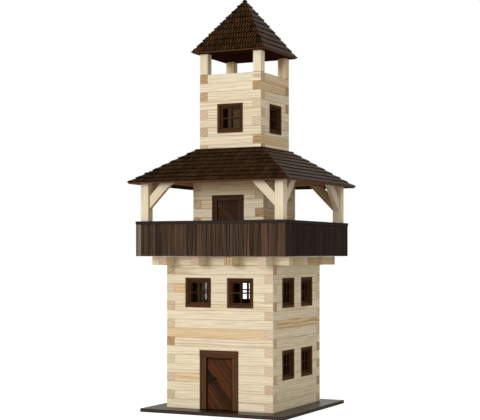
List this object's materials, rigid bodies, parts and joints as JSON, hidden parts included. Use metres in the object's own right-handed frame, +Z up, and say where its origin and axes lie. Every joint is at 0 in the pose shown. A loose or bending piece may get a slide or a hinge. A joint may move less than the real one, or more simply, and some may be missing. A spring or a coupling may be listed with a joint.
{
  "type": "wooden toy tower",
  "caption": "Toy watchtower of notched pine planks on a square base, with a hinged ground door, a roofed gallery behind a boarded parapet, and an open lookout under a pyramid roof.",
  "frame": {"origin": "centre of the base plate's underside", "axes": "+Z up; the wall with the two doors faces -Y; +X is to the right of someone facing the doors"},
  "size_m": [0.1978, 0.1978, 0.4702],
  "materials": {
    "pine": "bare planed pine with a fine grain",
    "window_brown": "dark brown stain, satin",
    "door_brown": "dark brown stain, satin",
    "fence_brown": "dark grey-brown stain over a ribbed grain",
    "roof_brown": "dark brown stain, satin",
    "base_brown": "dark brown stain, slightly glossy"
  },
  "bodies": {
    "tower": {"base_plate": "base_brown", "lower_wall_front_left": "pine", "lower_wall_front_right": "pine", "lower_wall_front_over_door": "pine", "lower_wall_right": "pine", "lower_wall_back": "pine", "lower_wall_left": "pine", "lower_door_frame": "door_brown", "joist_grid": "pine", "gallery_floor": "pine", "fence_front": "fence_brown", "fence_right": "fence_brown", "fence_back": "fence_brown", "fence_left": "fence_brown", "gallery_post_front_left": "pine", "gallery_post_front_right": "pine", "gallery_post_back_right": "pine", "gallery_post_back_left": "pine", "middle_wall_front": "pine", "middle_wall_right": "pine", "middle_wall_back": "pine", "middle_wall_left": "pine", "upper_door": "door_brown", "lower_roof_soffit": "roof_brown", "lower_roof_front": "roof_brown", "lower_roof_right": "roof_brown", "lower_roof_back": "roof_brown", "lower_roof_left": "roof_brown", "upper_wall_front": "pine", "upper_wall_right": "pine", "upper_wall_back": "pine", "upper_wall_left": "pine", "lookout_frame": "pine", "upper_roof_front": "roof_brown", "upper_roof_right": "roof_brown", "upper_roof_back": "roof_brown", "upper_roof_left": "roof_brown", "window_front_high_left": "window_brown", "window_front_high_right": "window_brown", "window_front_top": "window_brown", "window_right_low_left": "window_brown", "window_right_low_right": "window_brown", "window_right_high_left": "window_brown", "window_right_high_right": "window_brown", "window_right_top": "window_brown", "window_back_low_left": "window_brown", "window_back_low_right": "window_brown", "window_back_high_left": "window_brown", "window_back_high_right": "window_brown", "window_back_top": "window_brown", "window_left_low_left": "window_brown", "window_left_low_right": "window_brown", "window_left_high_left": "window_brown", "window_left_high_right": "window_brown", "window_left_top": "window_brown"},
    "door": {"lower_door_leaf": "door_brown"}
  },
  "joints": [
    {"name": "door_swing", "type": "hinge", "parent": "tower", "child": "door", "pos_m": [0.0135, -0.0613, 0], "axis": [0, 0, 1], "range_deg": [0, 90]}
  ]
}
